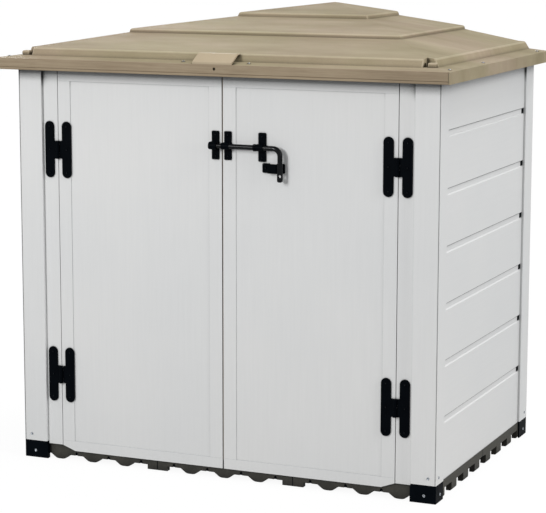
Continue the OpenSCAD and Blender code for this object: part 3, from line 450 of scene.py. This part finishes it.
def weighted_copy(name, width, along):
    """A copy of a node's mesh without the seams of its flat faces, whose roundable edges are marked."""
    mesh = nodes[name].data.copy()
    work = bmesh.new()
    work.from_mesh(mesh)
    bmesh.ops.remove_doubles(work, verts=work.verts, dist=MERGE)
    flat = [edge for edge in work.edges if len(edge.link_faces) == 2 and edge.calc_face_angle(0) < FLAT]
    bmesh.ops.dissolve_edges(work, edges=flat, use_verts=False)
    share = work.edges.layers.float.new("bevel_weight_edge")
    for edge in work.edges:
        edge[share] = 1 if roundable(edge, width, along) else 0
        edge.smooth = True
    for face in work.faces:
        face.smooth = True
    work.to_mesh(mesh)
    work.free()
    return mesh


def rounded(piece, width, segments):
    """The piece's mesh with its marked edges rounded, and with the roundings in the second material, a
    painted highlight on the roof.
    """
    bevel = piece.modifiers.new("edges", "BEVEL")
    bevel.width = width
    bevel.segments = segments
    bevel.limit_method = "WEIGHT"
    bevel.material = 1
    bpy.context.view_layer.update()
    shaped = piece.evaluated_get(bpy.context.evaluated_depsgraph_get())
    return bpy.data.meshes.new_from_object(shaped)


def softened(name, width, segments=2, along=None):
    """Replaces a node by a copy whose outer edges are rounded, and whose flat faces stay flat."""
    mesh = weighted_copy(name, width, along)
    mesh.materials.clear()
    # The second material is the painted edge highlight where one is given, and is dropped again elsewhere.
    for finish in (finish_of(name), EDGE_HIGHLIGHT.get(name, finish_of(name))):
        mesh.materials.append(finish)
    piece = link_object("soft_" + name, mesh)
    finished = rounded(piece, width, segments)
    piece.modifiers.clear()
    piece.data = finished
    shade(finished)
    if name not in EDGE_HIGHLIGHT:
        for face in finished.polygons:
            face.material_index = 0
        finished.materials.pop()
    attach(piece, body_of_node[name])
    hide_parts(name)


def edge_width(name):
    return next((width for key, width in SOFT_EDGES.items() if key in name), None)


def dress_nodes():
    for name in sorted(set(nodes) - set(SCREW_NODES)):
        if name.startswith("floor_tile"):
            softened(name, LOBE_ROUND, segments=4, along=Y)
        elif edge_width(name):
            softened(name, edge_width(name))
        else:
            nodes[name].data.materials.clear()
            nodes[name].data.materials.append(finish_of(name))


# Screw heads, each a dome with a cross recess, seated where the CAD's screws are.
HEAD_SECTORS = 32
HEAD_RINGS = (0.0, 0.30, 0.64, 0.70, 0.82, 0.93, 1.0)
# The dome falls by HEAD_FALL of its height towards its rim, as the power HEAD_ROUND of the radius.
HEAD_FALL, HEAD_ROUND = 0.75, 2.6
MIDDLE_RING = 0.02
# The cross reaches out to CROSS_REACH in these sectors of each quarter, and its core is sunk all round.
CROSS_REACH, CROSS_CORE, CROSS_DEPTH = 0.65, 0.35, 0.55
CROSS_SECTORS = (0, 7)
WIDEST = 0.98
HEAD_SHARP = math.radians(35)


def solids_of(name):
    """The points of each separate solid of a node."""
    work = bmesh.new()
    work.from_mesh(nodes[name].data)
    bmesh.ops.remove_doubles(work, verts=work.verts, dist=MERGE)
    found, reached = [], set()
    for first in work.verts:
        if first in reached:
            continue
        island, waiting = [], [first]
        reached.add(first)
        while waiting:
            point = waiting.pop()
            island.append(point.co.copy())
            near = [line.other_vert(point) for line in point.link_edges]
            near = [other for other in near if other not in reached]
            reached.update(near)
            waiting.extend(near)
        found.append(island)
    work.free()
    return found


def screw_seat(points):
    """Where a screw's head meets its seat, the way it points outwards, and the head's radius and height."""
    low = Vector([min(point[axis] for point in points) for axis in (X, Y, Z)])
    high = Vector([max(point[axis] for point in points) for axis in (X, Y, Z)])
    size = high - low
    along = max((X, Y, Z), key=lambda axis: size[axis])
    across = (along + 1) % 3
    radius = size[across] / 2
    middle = (low + high) / 2
    wide = [point[along] for point in points if abs((point - middle)[across]) > radius * WIDEST]
    outwards = 1 if sum(wide) / len(wide) > middle[along] else -1
    seat = middle.copy()
    seat[along] = min(wide) if outwards > 0 else max(wide)
    way = Vector((0, 0, 0))
    way[along] = outwards
    height = (high[along] - seat[along]) if outwards > 0 else (seat[along] - low[along])
    return seat, way, radius, height


def add_head(work, seat, way, radius, height):
    """Adds a domed head with a cross recess, and gives back the recess's points."""
    side = way.orthogonal().normalized()
    other = way.cross(side)
    angles = [2 * math.pi * (k + 0.5) / HEAD_SECTORS for k in range(HEAD_SECTORS)]
    spokes = [side * math.cos(angle) + other * math.sin(angle) for angle in angles]
    quarter = HEAD_SECTORS // 4
    rows, deep = [], set()
    for ring in HEAD_RINGS:
        row = []
        for k, spoke in enumerate(spokes):
            rise = height * (1 - HEAD_FALL * ring ** HEAD_ROUND)
            sunk = ring < CROSS_REACH and (k % quarter in CROSS_SECTORS or ring < CROSS_CORE)
            if sunk:
                rise -= height * CROSS_DEPTH
            row.append(work.verts.new(seat + way * rise + spoke * radius * max(ring, MIDDLE_RING)))
            if sunk:
                deep.add(row[-1])
        rows.append(row)
    foot = [work.verts.new(seat + spoke * radius) for spoke in spokes]
    rows.append(foot)
    work.faces.new(rows[0])
    for inner, outer in zip(rows, rows[1:]):
        for k in range(HEAD_SECTORS):
            following = (k + 1) % HEAD_SECTORS
            work.faces.new((inner[k], outer[k], outer[following], inner[following]))
    work.faces.new(list(reversed(foot)))
    return deep


def screw_heads(name):
    """Replaces a node of screws by their heads, whose recesses carry painted shade."""
    work = bmesh.new()
    deep = set()
    for points in solids_of(name):
        deep |= add_head(work, *screw_seat(points))
    for face in work.faces:
        face.material_index = int(deep.issuperset(face.verts))
    bmesh.ops.recalc_face_normals(work, faces=work.faces)
    mesh = bpy.data.meshes.new("heads_" + name)
    work.to_mesh(mesh)
    work.free()
    piece = link_object("heads_" + name, mesh)
    mesh.materials.append(finish_of(name))
    mesh.materials.append(recess_dark)
    mesh.shade_smooth()
    mesh.set_sharp_from_angle(angle=HEAD_SHARP)
    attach(piece, body_of_node[name])
    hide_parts(name)


# Small pieces that only the eye needs: lines and backs of painted shade at the joints and behind the slots,
# and dark boxes in the notches of the wall seams.
HAIR = 0.1 * MM


def box_piece(name, boxes, body, material):
    """One piece made of plain boxes, each given by its lowest and highest corner."""
    work = bmesh.new()
    for low, high in boxes:
        for point in bmesh.ops.create_cube(work, size=1)["verts"]:
            point.co = Vector([low[i] + (point.co[i] + 0.5) * (high[i] - low[i]) for i in (X, Y, Z)])
    mesh = bpy.data.meshes.new(name)
    work.to_mesh(mesh)
    work.free()
    piece = link_object(name, mesh)
    mesh.materials.append(material)
    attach(piece, body)


PLANKS = 7
TONGUE = 3 * MM
REBATE = 3 * MM
SEAM_HEIGHT = 1.5 * MM
SEAM_PROUD = 2.2 * MM
NOTCH_FROM, NOTCH_TO = 16 * MM, 2 * MM
NOTCH_HEIGHT = 15 * MM
NOTCH_FLOOR = 5.5 * MM
NOTCH_DARK_DEPTH = 1.0 * MM


def side_wall_boxes(side):
    """The seam lines of painted shade and the dark notch boxes of a side wall, from the planks' own boxes.
    """
    lines, notch_darks = [], []
    prefix = "right_plank_" if side > 0 else "left_plank_"
    for number in range(2, PLANKS + 1):
        low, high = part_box(prefix + str(number))
        seam = low[Z]
        face = max(abs(low[X]), abs(high[X]))
        start, end = low[Y] + TONGUE, high[Y] - TONGUE
        for boxes, depths, run, heights in (
                (lines, (REBATE + HAIR, REBATE - SEAM_PROUD), (start + HAIR, end - NOTCH_FROM - HAIR),
                 (seam - SEAM_HEIGHT, seam - HAIR)),
                (notch_darks, (NOTCH_FLOOR - HAIR, NOTCH_DARK_DEPTH), (end - NOTCH_FROM + HAIR, end - NOTCH_TO - HAIR),
                 (seam - NOTCH_HEIGHT + HAIR, seam - HAIR))):
            across = sorted(side * (face - depth) for depth in depths)
            boxes.append(((across[0], run[0], heights[0]), (across[1], run[1], heights[1])))
    return lines, notch_darks


# The seam lines of painted shade on the back wall.
def back_wall_lines():
    lines = []
    for number in range(2, PLANKS + 1):
        low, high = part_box("back_plank_" + str(number))
        lines.append(((low[X] + TONGUE + HAIR, high[Y] - REBATE - HAIR, low[Z] - SEAM_HEIGHT),
                      (high[X] - TONGUE - HAIR, high[Y] - REBATE + SEAM_PROUD, low[Z] - HAIR)))
    return lines


PANEL_SEAT = 8 * MM
PANEL_LINE = 0.4 * MM
PANEL_LINE_DEPTH = 0.5 * MM
LEAF_ROUND = 2 * MM


def panel_lines(side):
    """The joint round a leaf's panel, and the joints of its frame's rails, as thin lines of painted shade.
    """
    low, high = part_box(side + "_leaf_panel")
    outer_low, outer_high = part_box(side + "_leaf_frame")
    x0, x1 = low[X] + PANEL_SEAT, high[X] - PANEL_SEAT
    z0, z1 = low[Z] + PANEL_SEAT, high[Z] - PANEL_SEAT
    front, back = low[Y] - PANEL_LINE_DEPTH, low[Y] + HAIR
    lines = [((x0, front, z0), (x0 + PANEL_LINE, back, z1)),
             ((x1 - PANEL_LINE, front, z0), (x1, back, z1)),
             ((x0 + PANEL_LINE, front, z0), (x1 - PANEL_LINE, back, z0 + PANEL_LINE)),
             ((x0 + PANEL_LINE, front, z1 - PANEL_LINE), (x1 - PANEL_LINE, back, z1))]
    face = outer_low[Y]
    for start, end in ((outer_low[X] + LEAF_ROUND, x0 - HAIR), (x1 + HAIR, outer_high[X] - LEAF_ROUND)):
        for foot in (z0, z1 - PANEL_LINE):
            lines.append(((start, face - HAIR / 2, foot), (end, face + HAIR, foot + PANEL_LINE)))
    return lines


TILE_COLUMNS = 3
TILE_SLOTS = 4
TILE_SKIRT = 3 * MM
SLOT_BACK_HALF = 9 * MM
SLOT_BACK_THICK = 1 * MM
SLOT_BACK_LOW, SLOT_BACK_HIGH = 13 * MM, 26 * MM
TILE_SEAM = 2.4 * MM
SIDE_FOOT_TOP = 25 * MM


def tile_box(column, row):
    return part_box("floor_tile_%d_%d" % (column, row))


def slot_backs():
    """A dark back of painted shade behind each small slot of the front and rear skirts."""
    boxes = []
    for row, rear in ((1, False), (2, True)):
        for column in range(1, TILE_COLUMNS + 1):
            low, high = tile_box(column, row)
            pitch = (high[X] - low[X]) / TILE_SLOTS
            inset = TILE_SKIRT + HAIR
            near = high[Y] - inset - SLOT_BACK_THICK if rear else low[Y] + inset
            for k in range(TILE_SLOTS):
                middle = low[X] + (k + 0.5) * pitch
                boxes.append(((middle - SLOT_BACK_HALF, near, SLOT_BACK_LOW),
                              (middle + SLOT_BACK_HALF, near + SLOT_BACK_THICK, SLOT_BACK_HIGH)))
    return boxes


def seam_box(across, middle, face, out, foot, top):
    """A thin line on an outer face, centred on a joint between tiles along the axis across."""
    inner, outer = sorted((face - out * HAIR, face + out * HAIR / 2))
    low, high = [inner, inner, foot], [outer, outer, top]
    low[across], high[across] = middle - TILE_SEAM / 2, middle + TILE_SEAM / 2
    return low, high


def tile_seams():
    """The shaded joints between neighbouring tiles, on the outer faces of their skirts."""
    boxes = []
    for row, rear in ((1, False), (2, True)):
        for column in range(1, TILE_COLUMNS):
            low, high = tile_box(column, row)
            middle = (high[X] + tile_box(column + 1, row)[0][X]) / 2
            face, out = (high[Y], 1) if rear else (low[Y], -1)
            boxes.append(seam_box(X, middle, face, out, low[Z] + MM, high[Z] - HAIR))
    for column, out in ((1, -1), (TILE_COLUMNS, 1)):
        low, high = tile_box(column, 1)
        middle = (high[Y] + tile_box(column, 2)[0][Y]) / 2
        face = high[X] if out > 0 else low[X]
        boxes.append(seam_box(Y, middle, face, out, SIDE_FOOT_TOP, high[Z] - HAIR))
    return boxes


def small_pieces():
    right_lines, right_notch_darks = side_wall_boxes(1)
    left_lines, left_notch_darks = side_wall_boxes(-1)
    # Black plastic for the painted shade of the slot backs and of the tile joints, and for the boxes in the
    # wall seams' notches.
    dark = materials["black_plastic"]
    box_piece("wall_seams", right_lines + left_lines + back_wall_lines(), "box", seam_dark)
    box_piece("wall_notch_darks", right_notch_darks + left_notch_darks, "box", dark)
    box_piece("slot_backs", slot_backs(), "box", dark)
    box_piece("tile_seams", tile_seams(), "box", dark)
    for side in ("left", "right"):
        box_piece(side + "_panel_lines", panel_lines(side), side + "_leaf", panel_joint_shade)


# Floor, lamps and world.
FLOOR_SIZE = 160
FLOOR_SHADOW = 0.09
FLOOR_GLOW = 0.925
FLOOR_BOUNCE = 0.3
WORLD_TINT = (0.98, 0.99, 1.0, 1)
WORLD_STRENGTH = 0.38


def make_floor():
    """A floor that shows near white with the object's shadow on it, and that bounces light as plain grey."""
    work = bmesh.new()
    bmesh.ops.create_grid(work, x_segments=1, y_segments=1, size=FLOOR_SIZE / 2)
    mesh = bpy.data.meshes.new("floor")
    work.to_mesh(mesh)
    work.free()
    floor = link_object("floor", mesh)
    graph = material_graph("floor_white")
    pale, plain = graph.add("ShaderNodeBsdfDiffuse"), graph.add("ShaderNodeBsdfDiffuse")
    for shader, grey in ((pale, FLOOR_SHADOW), (plain, FLOOR_BOUNCE)):
        shader.inputs["Color"].default_value = (grey, grey, grey, 1)
    glow = graph.add("ShaderNodeEmission")
    glow.inputs["Strength"].default_value = FLOOR_GLOW
    both = graph.add("ShaderNodeAddShader")
    graph.link(pale.outputs[0], both.inputs[0])
    graph.link(glow.outputs[0], both.inputs[1])
    graph.seen_or_lit(seen=both, lit=plain)
    mesh.materials.append(graph.owner)


def aim(lamp, way):
    lamp.rotation_mode = "QUATERNION"
    lamp.rotation_quaternion = Vector(way).to_track_quat("-Z", "Y")


def make_sun(name, way, strength, angle):
    """A soft sun that shines along way."""
    data = bpy.data.lights.new(name, "SUN")
    data.energy = strength
    data.angle = math.radians(angle)
    aim(link_object(name, data), way)


def make_panel_lamp(name, place, target, power, size):
    """A soft square lamp, unseen by the camera, that lights the upper part a little more than the foot."""
    data = bpy.data.lights.new(name, "AREA")
    data.energy = power
    data.size = size
    lamp = link_object(name, data)
    lamp.location = place
    lamp.visible_camera = False
    aim(lamp, Vector(target) - Vector(place))


def make_world():
    """Soft light on the object, and plain white for the rays that show the background."""
    world = bpy.data.worlds.new("studio")
    bpy.context.scene.world = world
    graph = Graph(world, "ShaderNodeOutputWorld")
    soft, white = graph.add("ShaderNodeBackground"), graph.add("ShaderNodeBackground")
    soft.inputs["Color"].default_value = WORLD_TINT
    soft.inputs["Strength"].default_value = WORLD_STRENGTH
    white.inputs["Color"].default_value = WHITE
    graph.seen_or_lit(seen=white, lit=soft)


make_camera()
dress_nodes()
for screw_node in SCREW_NODES:
    screw_heads(screw_node)
small_pieces()
make_floor()
make_sun("front_key", way=(0.33, 0.90, -0.20), strength=0.66, angle=5)
make_panel_lamp("high_front", place=(-1.3, -3.7, 2.4), target=(0, -0.4, 0.9), power=52, size=1.2)
make_panel_lamp("high_right", place=(3.6, -0.6, 2.5), target=(0.3, 0, 0.9), power=27, size=1.2)
make_sun("right_fill", way=(-0.97, 0.20, -0.16), strength=0.30, angle=12)
make_sun("right_slope", way=(-0.72, 0.10, -0.69), strength=0.42, angle=20)
make_sun("top_light", way=(-0.30, -0.42, -0.86), strength=1.06, angle=25)
make_sun("rear_fill", way=(0.55, -0.80, -0.22), strength=0.75, angle=20)
make_world()
bpy.context.scene.view_settings.view_transform = "Standard"
